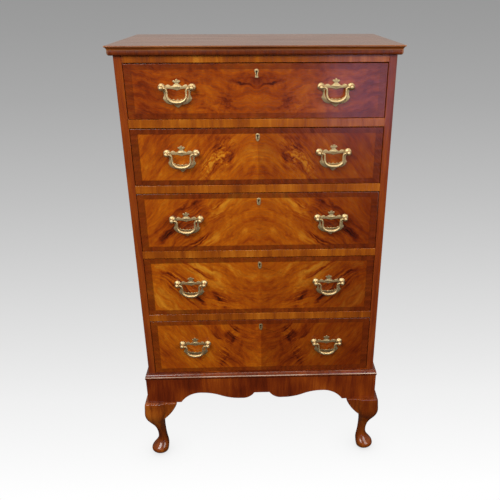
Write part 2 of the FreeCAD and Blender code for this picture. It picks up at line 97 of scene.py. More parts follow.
def french_polish(tree, colour, grain, rough=(0.2, 0.32)):
    """Thin shellac skin: glossy, with the open grain just showing through it."""
    roughness = add(tree, "MapRange", (grain, 0.3, 0.7, rough[1], rough[0]))
    bump = add(tree, "Bump", {"Strength": 0.35, "Distance": PORE_DEPTH, "Height": grain})
    wood = add(tree, "BsdfPrincipled", {
        "Base Color": colour, "Roughness": roughness, "Normal": bump, "IOR": 1.45,
        "Coat Weight": 0.25, "Coat Roughness": 0.1,
    })
    add(tree, "OutputMaterial", (wood,))


def straight_walnut(name, stretch, stops, patchy=0.35, spread=0.3, rough=(0.2, 0.32), shaded_hollows=0,
                    edge_glint=0.0, foot=None):
    """Plain-sawn walnut: dark open grain lines; stretch gives lines per metre along X, Y and Z,
    patchy how uneven its tone is, and spread how gently its dark and light meet. Given a reach
    in mm for hollows, painted shade darkens the corners narrower than it; given a share for
    edges, a painted highlight pales the sharp edges by it. With a foot, its height in metres, it
    is a moulding with a painted highlight along its turn and painted shade on its underside,
    darkest at its foot."""
    material, tree = new_tree(name)
    place = add(tree, "TexCoord").outputs["Object"]
    drift = add(tree, "TexNoise", {"Vector": place, "Scale": 5.0, "Detail": 2.0})
    wander = (drift.outputs["Color"], (0.012, 0.012, 0.012), place)
    bent = add(tree, "VectorMath", wander, operation="MULTIPLY_ADD")
    laid = add(tree, "Mapping", {"Vector": bent, "Scale": stretch})
    grain = add(tree, "TexNoise", {"Vector": laid, "Scale": 1.0, "Detail": 5.0, "Roughness": 0.62})
    fine = add(tree, "Mapping", {"Vector": bent, "Scale": [s * 6 for s in stretch]})
    pores = add(tree, "TexNoise", {"Vector": fine, "Scale": 1.0, "Detail": 2.0})
    tone = add(tree, "TexNoise", {"Vector": place, "Scale": 9.0, "Detail": 1.0})
    shade = add(tree, "Math", (tone, patchy, grain), operation="MULTIPLY_ADD")
    shade = add(tree, "Math", (pores, 0.3, shade), operation="MULTIPLY_ADD")
    usual = 0.65 + 0.5 * patchy
    level = add(tree, "MapRange", (shade, usual - spread, usual + spread, 0.0, 1.0))
    colour = add(tree, "ValToRGB", (level,), stops=stops)
    # Painted shade: the colour is darkened in corners and hollows, by how closed in they are.
    if shaded_hollows:
        open_air = add(tree, "AmbientOcclusion", {"Distance": shaded_hollows * MM}, samples=8)
        hollow_shade = add(tree, "MapRange", (open_air.outputs["AO"], 0.4, 0.95, 0.06, 1.0))
        colour = add(tree, "VectorMath", (colour, hollow_shade), operation="MULTIPLY")
    # Painted highlight: sharp edges paled towards d8a878 as if they caught the light.
    if edge_glint:
        thin = add(tree, "AmbientOcclusion", {"Distance": 3 * MM}, samples=8, inside=True)
        wear_and_highlight = add(tree, "MapRange", (thin.outputs["AO"], 0.5, 0.85, edge_glint, 0.0))
        colour = add(tree, "MixRGB", (wear_and_highlight, colour, linear("d8a878")))
    # Painted highlight: a pale line along the moulding's turn; painted shade: darker on its underside,
    # most at its foot.
    if foot:
        height = add(tree, "SeparateXYZ", (place,)).outputs["Z"]
        off = add(tree, "Math", (height, foot + NOSE_RISE), operation="SUBTRACT")
        off = add(tree, "Math", (off,), operation="ABSOLUTE")
        wear_and_highlight = add(tree, "MapRange", (off, 0.6 * MM, 1.8 * MM, 1.0, 0.0))
        uneven = add(tree, "MapRange", (drift, 0.35, 0.6, 0.35, 0.95))
        wear_and_highlight = add(tree, "Math", (wear_and_highlight, uneven), operation="MULTIPLY")
        colour = add(tree, "MixRGB", (wear_and_highlight, colour, linear("f4dcc4")))
        shade_under_nose = add(tree, "MapRange", (height, foot + 1 * MM, foot + 5 * MM, 0.12, 1.0))
        colour = add(tree, "VectorMath", (colour, shade_under_nose), operation="MULTIPLY")
    french_polish(tree, colour, grain, rough)
    return material


# For each drawer: lean of its grain (degrees from level), grain seed, -1 for a leaf that is upside
# down, how light it is, how much painted shade darkens the right leaf at the joint, where its
# turned fibres reflect less light, and at its far end, where the light falls off, how plainly the
# border shows, how far its curls are drawn out into plumes, then its patches of curl and its dark
# flames. A patch or flame is (distance from the drawer's middle, height above it, half length,
# half width, lean, strength), in mm and degrees.
FIGURES = {
    1: (10, 0.4, 1, -0.09, 0.12, 0.3, 0.6, 0.2,
        ((88, -30, 60, 30, -10, 0.4), (190, -42, 46, 18, 0, 0.4)),
        ((38, 20, 46, 4.5, 15, 0.75), (286, 10, 90, 70, 80, 0.15), (170, 44, 120, 20, 5, 0.3),
         (60, -6, 110, 12, 8, 0.25), (20, -48, 90, 12, 5, 0.3))),
    2: (-50, 2.3, 1, 0.035, 0.45, 0.4, 0.85, 0.3,
        ((84, 6, 70, 42, -72, 1.1), (128, -26, 60, 26, -52, 0.9)),
        ((150, -20, 70, 9, -50, 0.9), (124, -46, 50, 8, -40, 0.7), (108, 30, 38, 8, -72, 0.6),
         (66, -10, 50, 8, -80, 0.6), (86, 46, 26, 12, 0, 0.5))),
    3: (-38, 5.1, 1, 0.04, 0.15, 0.85, 0.75, 0.9,
        ((108, 40, 52, 34, -55, 0.8), (165, -50, 70, 30, -20, 0.9), (210, 0, 100, 40, -38, 1.1)),
        ((226, 8, 100, 10, -38, 0.8), (172, 46, 34, 9, -45, 1.0), (258, -38, 56, 8, -32, 0.6),
         (110, 34, 44, 10, -60, 0.7), (172, -50, 50, 8, -30, 0.6), (204, 42, 44, 6, -38, 0.6))),
    4: (-38, 7.7, -1, 0.04, 0.3, 0.85, 0.75, 0.9,
        ((108, 40, 52, 34, -55, 0.8), (165, -50, 70, 30, -20, 0.9), (210, 0, 100, 40, -38, 1.1)),
        ((222, 4, 100, 10, -38, 0.6), (168, 42, 34, 9, -45, 1.0), (262, -42, 50, 8, -30, 0.6),
         (118, 38, 48, 11, -60, 0.7), (186, -48, 50, 8, -35, 0.4), (196, 46, 44, 6, -38, 0.6))),
    5: (50, 9.2, 1, 0.04, 0.65, 0.4, 0.7, 0.6,
        ((110, -38, 58, 36, -80, 1.0), (84, 42, 56, 30, -75, 1.0), (190, -30, 50, 22, 40, 0.6)),
        ((130, 35, 44, 4.5, 47, 1.0), (80, 34, 50, 8, -75, 0.6), (112, -50, 42, 8, -60, 0.5),
         (60, 10, 60, 7, -80, 0.35))),
}
FIELD_STOPS = (
    (0.0, "2a0c03"), (0.2, "561b05"), (0.4, "7e2e07"), (0.58, "a04608"), (0.76, "ba5f0a"),
    (1.0, "d68a22"),
)
BAND_STOPS = ((0.0, "3a1205"), (0.4, "5c2007"), (0.8, "7a300b"), (1.0, "8e400e"))
BAND_SIDE = 18 * MM             # width of the border at the drawer's ends
BAND_EDGE = 13 * MM             # and along its top and bottom
BOW = 80 * MM                   # how far from the joint the grain takes to reach its lean


def ellipse_mask(tree, spot, place, soft):
    """The spot's strength inside its leaning ellipse, from the share soft fading to 0 at its rim."""
    x, z, long_half, short_half, lean, strength = spot
    local = add(tree, "Mapping", {
        "Vector": place, "Location": (x * MM, 0.0, z * MM), "Rotation": (0.0, radians(-lean), 0.0),
        "Scale": (long_half * MM, 1.0, short_half * MM),
    }, vector_type="TEXTURE")
    reach = add(tree, "VectorMath", (local,), operation="LENGTH").outputs["Value"]
    return add(tree, "MapRange", (reach, soft, 1.0, strength, 0.0), interpolation_type="SMOOTHSTEP")


def drawer_veneer(level):
    """Two book-matched leaves of crotch walnut inside a darker crossbanded border."""
    lean, seed, turn, light, at_joint, at_end, border, plumy, patches, flames = FIGURES[level]
    steep = cos(radians(lean))
    material, tree = new_tree(f"crotch_walnut_veneer_{level}")
    low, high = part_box(f"drawer_{level}_front")
    middle = (low.z + high.z) / 2
    place = add(tree, "TexCoord").outputs["Object"]
    axes = add(tree, "SeparateXYZ", (place,))
    across = add(tree, "Math", (axes.outputs["X"],), operation="ABSOLUTE")
    rise = add(tree, "Math", (axes.outputs["Z"], middle), operation="SUBTRACT")
    turned = add(tree, "Math", (rise, turn), operation="MULTIPLY")
    leaf = add(tree, "CombineXYZ", (across, 0.0, turned))
    seeded = add(tree, "VectorMath", (leaf, (seed, seed, seed)), operation="ADD")
    drift = add(tree, "TexNoise", {"Vector": seeded, "Scale": 6.0, "Detail": 2.0})
    swirl = add(tree, "TexNoise", {"Vector": seeded, "Scale": 30.0, "Detail": 3.0, "Distortion": 0.8})
    swept, spread = seeded, leaf
    # Patches and flames keep nearer to their places than the grain does.
    for bend, of_grain, of_patches in ((drift, 0.09, 0.016), (swirl, 0.016, 0.022)):
        push = bend.outputs["Color"]
        swept = add(tree, "VectorMath", (push, (of_grain,) * 3, swept), operation="MULTIPLY_ADD")
        pushed = (push, (of_patches, 0.0, of_patches), spread)
        spread = add(tree, "VectorMath", pushed, operation="MULTIPLY_ADD")
    spread = add(tree, "VectorMath", (spread, (-0.019, 0.0, -0.019)), operation="ADD")

    # The grain runs level at the joint and sweeps away to its full lean further out.
    squared = add(tree, "Math", (across, across, BOW * BOW), operation="MULTIPLY_ADD")
    bow = add(tree, "Math", (squared,), operation="SQRT")
    fall = add(tree, "Math", (bow, -tan(radians(lean))), operation="MULTIPLY")
    fall = add(tree, "CombineXYZ", (0.0, 0.0, fall))
    along = add(tree, "VectorMath", (swept, fall), operation="ADD")
    lines = add(tree, "Mapping", {"Vector": along, "Scale": (5.0, 1.0, 30.0 * steep)})
    lines = add(tree, "TexNoise", {"Vector": lines, "Scale": 1.0, "Detail": 4.0, "Roughness": 0.55})
    cloud = add(tree, "TexNoise", {"Vector": swept, "Scale": 10.0, "Detail": 2.0})
    curl = add(tree, "TexNoise", {"Vector": swept, "Scale": 95.0, "Detail": 4.0, "Distortion": 1.1})
    fibre = add(tree, "Mapping", {"Vector": along, "Scale": (40.0, 1.0, 600.0)})
    fibre = add(tree, "TexNoise", {"Vector": fibre, "Scale": 1.0, "Detail": 2.0})

    tone = add(tree, "MapRange", (lines, 0.3, 0.7, 0.52 + light, 0.78 + light), clamp=False)
    clouded = add(tree, "Math", (cloud, 0.5), operation="SUBTRACT")
    tone = add(tree, "Math", (clouded, 0.6, tone), operation="MULTIPLY_ADD")
    curls = add(tree, "MapRange", (curl, 0.35, 0.65, -0.34, 0.2), clamp=False)
    plumes = add(tree, "Mapping", {"Vector": along, "Scale": (9.0, 1.0, 120.0 * steep)})
    plumes = add(tree, "TexNoise", {"Vector": plumes, "Scale": 1.0, "Detail": 4.0, "Distortion": 0.5})
    plumed = add(tree, "MapRange", (plumes, 0.42, 0.62, 0.18, -0.42))
    figure = add(tree, "MixRGB", (plumy, curls, plumed))
    flecks = add(tree, "Mapping", {"Vector": along, "Scale": (24.0, 1.0, 130.0)})
    flecks = add(tree, "TexNoise", {"Vector": flecks, "Scale": 1.0, "Detail": 3.0, "Distortion": 0.6})
    flecks = add(tree, "MapRange", (flecks, 0.54, 0.68, 0.0, -0.22))
    figure = add(tree, "Math", (figure, flecks), operation="ADD")
    for spot in patches:
        mask = ellipse_mask(tree, spot, spread, 0.15)
        tone = add(tree, "Math", (mask, figure, tone), operation="MULTIPLY_ADD")
    mottle = add(tree, "TexNoise", {"Vector": along, "Scale": 70.0, "Detail": 4.0, "Roughness": 0.6})
    mottled = add(tree, "MapRange", (mottle, 0.3, 0.7, -0.1, 0.1), clamp=False)
    tone = add(tree, "Math", (tone, mottled), operation="ADD")
    tone = add(tree, "Math", (flecks, 0.5, tone), operation="MULTIPLY_ADD")
    streaks = add(tree, "MapRange", (lines, 0.35, 0.65, -0.32, -0.12))
    darkest = add(tree, "MapRange", (plumes, 0.44, 0.58, 0.0, -0.2))
    streaks = add(tree, "Math", (streaks, darkest), operation="ADD")
    for spot in flames:
        mask = ellipse_mask(tree, spot, spread, 0.0)
        tone = add(tree, "Math", (mask, streaks, tone), operation="MULTIPLY_ADD")
    field = add(tree, "ValToRGB", (tone,), stops=FIELD_STOPS)
    lit_fibre = add(tree, "MapRange", (fibre, 0.3, 0.7, 0.74, 1.14))
    field = add(tree, "VectorMath", (field, lit_fibre), operation="MULTIPLY")

    # Painted shade on the right leaf: it is the left one turned over, so its fibres catch the light
    # the other way, and it is darker still towards its far end, where the light falls off.
    turned_leaf_shade = add(tree, "MapRange", (axes.outputs["X"], -0.6 * MM, 0.6 * MM, 0.0, at_joint))
    far_shade = add(tree, "MapRange", (axes.outputs["X"], 100 * MM, 300 * MM, 0.0, at_end))
    side = add(tree, "Math", (turned_leaf_shade, far_shade), operation="ADD")
    field = add(tree, "MixRGB", (side, field, linear("bca2b4")), blend_type="MULTIPLY")

    # The border's grain runs across its width, and a dark glue line parts it from the field.
    from_side = add(tree, "Math", (high.x, across), operation="SUBTRACT")
    side_share = add(tree, "Math", (from_side, BAND_SIDE), operation="DIVIDE")
    away = add(tree, "Math", (rise,), operation="ABSOLUTE")
    from_edge = add(tree, "Math", ((high.z - low.z) / 2, away), operation="SUBTRACT")
    edge_share = add(tree, "Math", (from_edge, BAND_EDGE), operation="DIVIDE")
    nearest = add(tree, "Math", (side_share, edge_share), operation="MINIMUM")
    in_band = add(tree, "MapRange", (nearest, 0.94, 1.06, border, 0.0))
    upright = add(tree, "Mapping", {"Vector": place, "Scale": (90.0, 1.0, 7.0)})
    upright = add(tree, "TexNoise", {"Vector": upright, "Scale": 1.0, "Detail": 4.0, "Roughness": 0.6})
    lying = add(tree, "Mapping", {"Vector": place, "Scale": (7.0, 1.0, 90.0)})
    lying = add(tree, "TexNoise", {"Vector": lying, "Scale": 1.0, "Detail": 4.0, "Roughness": 0.6})
    at_side = add(tree, "Math", (side_share, edge_share), operation="LESS_THAN")
    band_grain = add(tree, "MixRGB", (at_side, upright, lying))
    band_tone = add(tree, "MapRange", (band_grain, 0.2, 0.8, 0.0, 1.0))
    band = add(tree, "ValToRGB", (band_tone,), stops=BAND_STOPS)
    face = add(tree, "MixRGB", (in_band, field, band))
    from_joint = add(tree, "Math", (nearest, 1.0), operation="SUBTRACT")
    from_joint = add(tree, "Math", (from_joint,), operation="ABSOLUTE")
    joint = add(tree, "MapRange", (from_joint, 0.0, 0.07, 1.0 - 0.5 * border, 1.0))
    face = add(tree, "VectorMath", (face, joint), operation="MULTIPLY")
    french_polish(tree, face, fibre)
    return material


# ---- Brass, steel and inside woods --------------------------------------
def aged_brass(name):
    """Old lacquered brass: pale where it is rubbed, olive-brown where hands never reach."""
    material, tree = new_tree(name)
    place = add(tree, "TexCoord").outputs["Object"]
    cloud = add(tree, "TexNoise", {"Vector": place, "Scale": 160.0, "Detail": 4.0})
    spots = add(tree, "TexNoise", {"Vector": place, "Scale": 900.0, "Detail": 3.0})
    hollow = add(tree, "AmbientOcclusion", {"Distance": 5 * MM}, samples=8)
    wear_and_highlight = add(tree, "MapRange", (hollow.outputs["AO"], 0.45, 0.95, 0.0, 0.85))
    wear_and_highlight = add(tree, "Math", (cloud, 0.4, wear_and_highlight), operation="MULTIPLY_ADD")
    colour = add(tree, "ValToRGB", (wear_and_highlight,), stops=(
        (0.0, "38280c"), (0.3, "7c5c2c"), (0.6, "bc995c"), (1.0, "dcc390")))
    rough = add(tree, "MapRange", (spots, 0.3, 0.7, 0.44, 0.62))
    bump = add(tree, "Bump", {"Strength": 0.25, "Distance": 0.12 * MM, "Height": spots})
    metal = add(tree, "BsdfPrincipled", {
        "Base Color": colour, "Metallic": 1.0, "Roughness": rough, "Normal": bump})
    add(tree, "OutputMaterial", (metal,))
    return material


def plain_metal(name, stops, rough):
    """Filed steel or brass inside the chest, dull and slightly spotted."""
    material, tree = new_tree(name)
    place = add(tree, "TexCoord").outputs["Object"]
    filed = add(tree, "Mapping", {"Vector": place, "Scale": (90.0, 90.0, 1400.0)})
    marks = add(tree, "TexNoise", {"Vector": filed, "Scale": 1.0, "Detail": 3.0})
    colour = add(tree, "ValToRGB", (marks,), stops=stops)
    roughness = add(tree, "MapRange", (marks, 0.3, 0.7, rough - 0.08, rough + 0.1))
    metal = add(tree, "BsdfPrincipled", {
        "Base Color": colour, "Metallic": 1.0, "Roughness": roughness})
    add(tree, "OutputMaterial", (metal,))
    return material


def bare_wood(name, stretch, stops):
    """Planed, unpolished wood inside the drawers and behind the chest: dry and matt."""
    material, tree = new_tree(name)
    place = add(tree, "TexCoord").outputs["Object"]
    drift = add(tree, "TexNoise", {"Vector": place, "Scale": 4.0, "Detail": 2.0})
    wander = (drift.outputs["Color"], (0.02, 0.02, 0.02), place)
    bent = add(tree, "VectorMath", wander, operation="MULTIPLY_ADD")
    laid = add(tree, "Mapping", {"Vector": bent, "Scale": stretch})
    grain = add(tree, "TexNoise", {"Vector": laid, "Scale": 1.0, "Detail": 6.0, "Roughness": 0.65})
    level = add(tree, "MapRange", (grain, 0.3, 0.7, 0.0, 1.0))
    colour = add(tree, "ValToRGB", (level,), stops=stops)
    bump = add(tree, "Bump", {"Strength": 0.4, "Distance": 0.1 * MM, "Height": grain})
    wood = add(tree, "BsdfPrincipled", {"Base Color": colour, "Roughness": 0.72, "Normal": bump})
    add(tree, "OutputMaterial", (wood,))
    return material


# Upright red-brown boards of the case sides, whose front edges are the stiles.
stile_walnut = straight_walnut("case_side_walnut", (70.0, 70.0, 4.0), (
    (0.0, "5c200a"), (0.4, "80340f"), (0.75, "984612"), (1.0, "ac5c1c")))
# Short pieces of golden veneer laid across the rails, some darker than others.
rail_walnut = straight_walnut("cross_grained_rail_walnut", (60.0, 60.0, 4.0), (
    (0.0, "6c2e08"), (0.4, "94480c"), (0.7, "ae5e12"), (1.0, "ca7e26")), patchy=0.9, spread=0.4)
# The stand's moulding: dark, with a painted highlight along its turn and painted shade in its hollows
# and on its underside.
moulding_walnut = straight_walnut("cross_grained_moulding_walnut", (80.0, 80.0, 8.0), (
    (0.0, "4c1a08"), (0.4, "6c2a0b"), (0.8, "8a3e12"), (1.0, "a05220")),
    spread=0.4, rough=(0.13, 0.2), shaded_hollows=16, foot=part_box("stand_moulding")[0].z)
# The cornice, made nearly black in its hollow by painted shade, with a faint painted highlight along
# its sharp edges.
cornice_walnut = straight_walnut("cross_grained_cornice_walnut", (80.0, 80.0, 8.0), (
    (0.0, "48180a"), (0.4, "66280d"), (0.8, "823a14"), (1.0, "984c20")),
    spread=0.4, shaded_hollows=20, edge_glint=0.2)
# The wavy apron, its upright grain streaked from dark brown to orange.
apron_walnut = straight_walnut("apron_walnut", (40.0, 40.0, 4.0), (
    (0.0, "4a1404"), (0.35, "6e2608"), (0.7, "8f3d0c"), (1.0, "b05a18")), patchy=0.9, spread=0.38)
# Solid legs under a thick bright polish; the right ones get a darker copy of the same walnut, painted
# shade for the light falling off to the right.
leg_walnut = straight_walnut("cabriole_leg_walnut", (60.0, 60.0, 5.0), (
    (0.0, "54200a"), (0.4, "8a400e"), (0.8, "b05f1a"), (1.0, "c2762c")),
    patchy=0.7, spread=0.36, rough=(0.12, 0.2))
# A shaded copy of the legs' walnut: painted shade for the two right legs.
shaded_right_leg_walnut = straight_walnut("shaded_cabriole_leg_walnut", (60.0, 60.0, 5.0), (
    (0.0, "4a1806"), (0.4, "702c0a"), (0.8, "8e4510"), (1.0, "a65a1c")),
    patchy=0.7, spread=0.36, rough=(0.12, 0.2))
# The top, its grain running its whole width, with a faint painted highlight along its sharp edges.
top_walnut = straight_walnut("top_walnut", (4.0, 60.0, 60.0), (
    (0.0, "54200a"), (0.4, "74360f"), (0.8, "8e4c18"), (1.0, "a46228")), edge_glint=0.25)
# Dry pale oak inside, and a pine back that was stained and never polished.
lining = bare_wood("drawer_lining_oak", (60.0, 5.0, 60.0), (
    (0.0, "7a5430"), (0.5, "a47c4c"), (1.0, "be9a68")))
bottom_lining = bare_wood("drawer_bottom_oak", (5.0, 60.0, 60.0), (
    (0.0, "7a5430"), (0.5, "a07848"), (1.0, "ba9664")))
backing = bare_wood("stained_pine_back", (40.0, 40.0, 3.0), (
    (0.0, "5e3c20"), (0.5, "7a5230"), (1.0, "8e6640")))
brass = aged_brass("aged_brass")
# Locks, filed and left dull where nobody sees them.
lock_brass = plain_metal("filed_lock_brass", ((0.0, "7a6030"), (1.0, "b4924e")), 0.42)
steel = plain_metal("filed_steel", ((0.0, "5c5854"), (1.0, "8e8a84")), 0.38)
veneers = {level: drawer_veneer(level) for level in DRAWERS}


def dress(piece, material):
    """Gives a piece one material all over."""
    piece.data.materials.clear()
    piece.data.materials.append(material)


NODE_FINISH = {
    "top_board": top_walnut, "cornice_moulding": cornice_walnut, "left_side": stile_walnut,
    "right_side": stile_walnut, "back_panel": backing, "top_rail": rail_walnut,
    "drawer_rails": rail_walnut, "bottom_board": apron_walnut, "drawer_runners": lining,
    "dust_boards": bottom_lining, "drawer_stops": lining, "stand_moulding": moulding_walnut,
    "front_apron": apron_walnut, "stand_side_rails": apron_walnut, "stand_back_rail": backing,
    "front_left_leg": leg_walnut, "front_right_leg": shaded_right_leg_walnut,
    "rear_left_leg": leg_walnut, "rear_right_leg": shaded_right_leg_walnut, "knee_blocks": leg_walnut,
}
for level in DRAWERS:
    NODE_FINISH[f"drawer_{level}_front"] = veneers[level]
    NODE_FINISH[f"drawer_{level}_box"] = lining
    NODE_FINISH[f"drawer_{level}_bottom"] = bottom_lining
    NODE_FINISH[f"drawer_{level}_hardware"] = brass
    NODE_FINISH[f"drawer_{level}_left_bail"] = brass
    NODE_FINISH[f"drawer_{level}_right_bail"] = brass
    NODE_FINISH[f"drawer_{level}_lock"] = lock_brass
    NODE_FINISH[f"drawer_{level}_lock_bolt"] = steel
for name, material in NODE_FINISH.items():
    dress(nodes[name], material)


# ---- Modelling helpers --------------------------------------------------
WELD = 0.005 * MM               # points of a CAD mesh nearer than this are one
FINE_WELD = 0.001 * MM          # the same on the small brass


def only(piece):
    """Selects one object and nothing else."""
    bpy.ops.object.select_all(action="DESELECT")
    piece.select_set(True)
    bpy.context.view_layer.objects.active = piece


def select_edges(piece, wanted):
    """In object mode, selects the edges for which wanted(middle, along, length) is true."""
    mesh = piece.data
    for polygon in mesh.polygons:
        polygon.select = False
    for point in mesh.vertices:
        point.select = False
    for edge in mesh.edges:
        start, end = (mesh.vertices[v].co for v in edge.vertices)
        along = end - start
        edge.select = wanted((start + end) / 2, along.normalized(), along.length)


def smooth(piece, angle=30):
    """Shades smoothly across every edge that turns by less than the angle, in degrees."""
    only(piece)
    bpy.ops.object.shade_smooth_by_angle(angle=radians(angle))


def apply_modifier(piece, kind, **settings):
    """Adds a modifier and applies it at once. The piece is left selected, on its own."""
    only(piece)
    modifier = piece.modifiers.new(kind.lower(), kind)
    for name, value in settings.items():
        setattr(modifier, name, value)
    bpy.ops.object.modifier_apply(modifier=modifier.name)


def place_piece(piece, body, material, slot, *replaced):
    """Finishes a piece: its material, the body it moves with and the CAD nodes it stands for."""
    dress(piece, material)
    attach(piece, body)
    if replaced:
        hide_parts(*replaced)


def weld(piece, gap):
    """Joins points nearer than gap and turns every face outwards."""
    only(piece)
    bpy.ops.object.mode_set(mode="EDIT")
    bpy.ops.mesh.select_all(action="SELECT")
    bpy.ops.mesh.remove_doubles(threshold=gap)
    bpy.ops.mesh.normals_make_consistent(inside=False)
    bpy.ops.object.mode_set(mode="OBJECT")


def copy_of(node, name):
    """Merged copy of a CAD node with its flat faces whole again."""
    piece = nodes[node].copy()
    piece.data = nodes[node].data.copy()
    for key in list(piece.keys()):
        del piece[key]
    piece.parent = None
    piece.name = name
    bpy.context.scene.collection.objects.link(piece)
    piece.hide_viewport = False
    piece.hide_render = False
    piece.hide_set(False)
    only(piece)
    bpy.ops.object.mode_set(mode="EDIT")
    bpy.ops.mesh.select_all(action="SELECT")
    bpy.ops.mesh.remove_doubles(threshold=WELD)
    bpy.ops.mesh.customdata_custom_splitnormals_clear()
    bpy.ops.mesh.dissolve_limited(angle_limit=radians(0.5))
    bpy.ops.object.mode_set(mode="OBJECT")
    return piece


def eased(node, name, width, wanted):
    """Copy of a CAD node with chosen edges rubbed round, as by hand with glasspaper."""
    piece = copy_of(node, name)
    bpy.ops.object.mode_set(mode="EDIT")
    bpy.ops.mesh.select_mode(type="EDGE")
    bpy.ops.mesh.select_all(action="DESELECT")
    bpy.ops.object.mode_set(mode="OBJECT")
    select_edges(piece, wanted)
    bpy.ops.object.mode_set(mode="EDIT")
    bpy.ops.mesh.bevel(
        offset=width, offset_type="OFFSET", segments=3, profile=0.5, clamp_overlap=False)
    bpy.ops.object.mode_set(mode="OBJECT")
    # Where bevels meet at a corner they can swell past the board: plane that off.
    low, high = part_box(node)
    for point in piece.data.vertices:
        point.co = [min(max(at, least), most) for at, least, most in zip(point.co, low, high)]
    smooth(piece)
    apply_modifier(piece, "WEIGHTED_NORMAL", weight=100, keep_sharp=True)
    return piece


# ---- Case, drawer fronts and stand --------------------------------------
LONG_EDGE = 30 * MM             # shorter edges belong to keyholes and joints and stay sharp
ALONG = 0.9                     # least share of an edge's direction that lies along an axis


def ease_woodwork():
    """Drawer fronts, rails and case sides get soft arrises where a hand would meet them."""
    for level in DRAWERS:
        node = f"drawer_{level}_front"
        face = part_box(node)[0].y + ON_FACE

        def front_arris(at, way, length):
            return at.y < face and length > LONG_EDGE

        piece = eased(node, f"front_{level}", 1.1 * MM, front_arris)
        place_piece(piece, f"drawer_{level}", veneers[level], "walnut_veneer", node)
    rail_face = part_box("drawer_rails")[0].y + ON_FACE

    def rail_arris(at, way, length):
        return at.y < rail_face and abs(way.x) > ALONG and length > LONG_EDGE

    def stile_arris(at, way, length):
        return at.y < rail_face and abs(way.z) > ALONG and length > LONG_EDGE

    for node, name in (("drawer_rails", "rails_between_drawers"), ("top_rail", "rail_over_drawers")):
        piece = eased(node, name, 0.9 * MM, rail_arris)
        place_piece(piece, "case", rail_walnut, "walnut_veneer", node)
    for node in ("left_side", "right_side"):
        piece = eased(node, node.replace("_", "_case_"), 1.2 * MM, stile_arris)
        place_piece(piece, "case", stile_walnut, "walnut_veneer", node)
    low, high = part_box("front_apron")

    def wave_arris(at, way, length):
        return at.y < low.y + ON_FACE and at.z < high.z - MM and abs(way.z) < ALONG

    piece = eased("front_apron", "wavy_apron", 0.9 * MM, wave_arris)
    place_piece(piece, "case", apron_walnut, "walnut_veneer", "front_apron")


CARVING_GRAIN = 1.3 * MM        # finest detail left on a leg
EAR_REACH = 50 * MM             # every ear is further than this from the middle of the depth


def carved_leg(node, name, x_side, y_side):
    """Leg and its ears carved as one flowing form, with the saw marks scraped away."""
    leg = copy_of(node, name)
    ears = copy_of("knee_blocks", name + "_ears")
    bpy.ops.object.mode_set(mode="EDIT")
    bpy.ops.mesh.select_mode(type="VERT")
    bpy.ops.mesh.select_all(action="DESELECT")
    bpy.ops.object.mode_set(mode="OBJECT")
    for point in ears.data.vertices:
        point.select = not (point.co.x * x_side > 0 and point.co.y * y_side > EAR_REACH)
    bpy.ops.object.mode_set(mode="EDIT")
    bpy.ops.mesh.delete(type="VERT")
    bpy.ops.object.mode_set(mode="OBJECT")
    leg.select_set(True)
    bpy.context.view_layer.objects.active = leg
    bpy.ops.object.join()
    apply_modifier(leg, "REMESH", mode="VOXEL", voxel_size=CARVING_GRAIN)
    apply_modifier(leg, "SMOOTH", factor=0.5, iterations=9)
    bpy.ops.object.shade_smooth()
    return leg


def carve_legs():
    for node, x_side, y_side in (("front_left_leg", -1, -1), ("front_right_leg", 1, -1),
                                 ("rear_left_leg", -1, 1), ("rear_right_leg", 1, 1)):
        leg = carved_leg(node, "carved_" + node, x_side, y_side)
        place_piece(leg, "case", NODE_FINISH[node], "walnut", node, "knee_blocks")


# ---- Brass furniture ----------------------------------------------------
# In mm: the backplate, the posts' distance from its middle, how far out the bail's pins are, the
# posts' balls, the keyhole plate, and how far the edges of both plates are filed round. The neck
# of a ball is at this angle, in degrees, from its front.
PLATE_THICKNESS = 2.0
POST_HALF = 37.0
PIVOT_OUT = 16.5
BALL = 6.0
KEYPLATE_THICKNESS = 1.2
FILED = 0.35
NECK = 148


def arc(start, via, end, count=7):
    """Points along the circle through three points, without its first one."""
    ax, az = via[0] - start[0], via[1] - start[1]
    bx, bz = end[0] - start[0], end[1] - start[1]
    twice = 2 * (ax * bz - az * bx)
    if abs(twice) < 1e-9:
        return [via, end]
    ux = (bz * (ax * ax + az * az) - az * (bx * bx + bz * bz)) / twice
    uz = (ax * (bx * bx + bz * bz) - bx * (ax * ax + az * az)) / twice
    cx, cz, radius = start[0] + ux, start[1] + uz, (ux * ux + uz * uz) ** 0.5
    angles = [atan2(point[1] - cz, point[0] - cx) for point in (start, via, end)]
    turn = 1 if twice > 0 else -1
    sweep = (angles[2] - angles[0]) * turn % (2 * pi) * turn
    steps = [angles[0] + sweep * index / count for index in range(1, count + 1)]
    return [(cx + radius * cos(a), cz + radius * sin(a)) for a in steps]


def flat_plate(name, outlines, thickness):
    """Sheet cut to closed outlines of (x, z) in mm, its edges filed round, its back at y = 0."""
    sheet = bpy.data.curves.new(name, "CURVE")
    sheet.dimensions = "2D"
    sheet.fill_mode = "BOTH"
    sheet.extrude = (thickness / 2 - FILED) * MM
    sheet.bevel_depth = FILED * MM
    sheet.bevel_resolution = 2
    sheet.offset = -FILED * MM
    for outline in outlines:
        line = sheet.splines.new("POLY")
        line.points.add(len(outline) - 1)
        for point, (x, z) in zip(line.points, outline):
            point.co = (x * MM, z * MM, 0.0, 1.0)
        line.use_cyclic_u = True
    piece = bpy.data.objects.new(name, sheet)
    bpy.context.scene.collection.objects.link(piece)
    only(piece)
    bpy.ops.object.convert(target="MESH")
    piece = bpy.context.object
    piece.rotation_euler = (pi / 2, 0.0, 0.0)
    piece.location = (0.0, -thickness / 2 * MM, 0.0)
    bpy.ops.object.transform_apply(location=True, rotation=True, scale=True)
    weld(piece, FINE_WELD)
    return piece


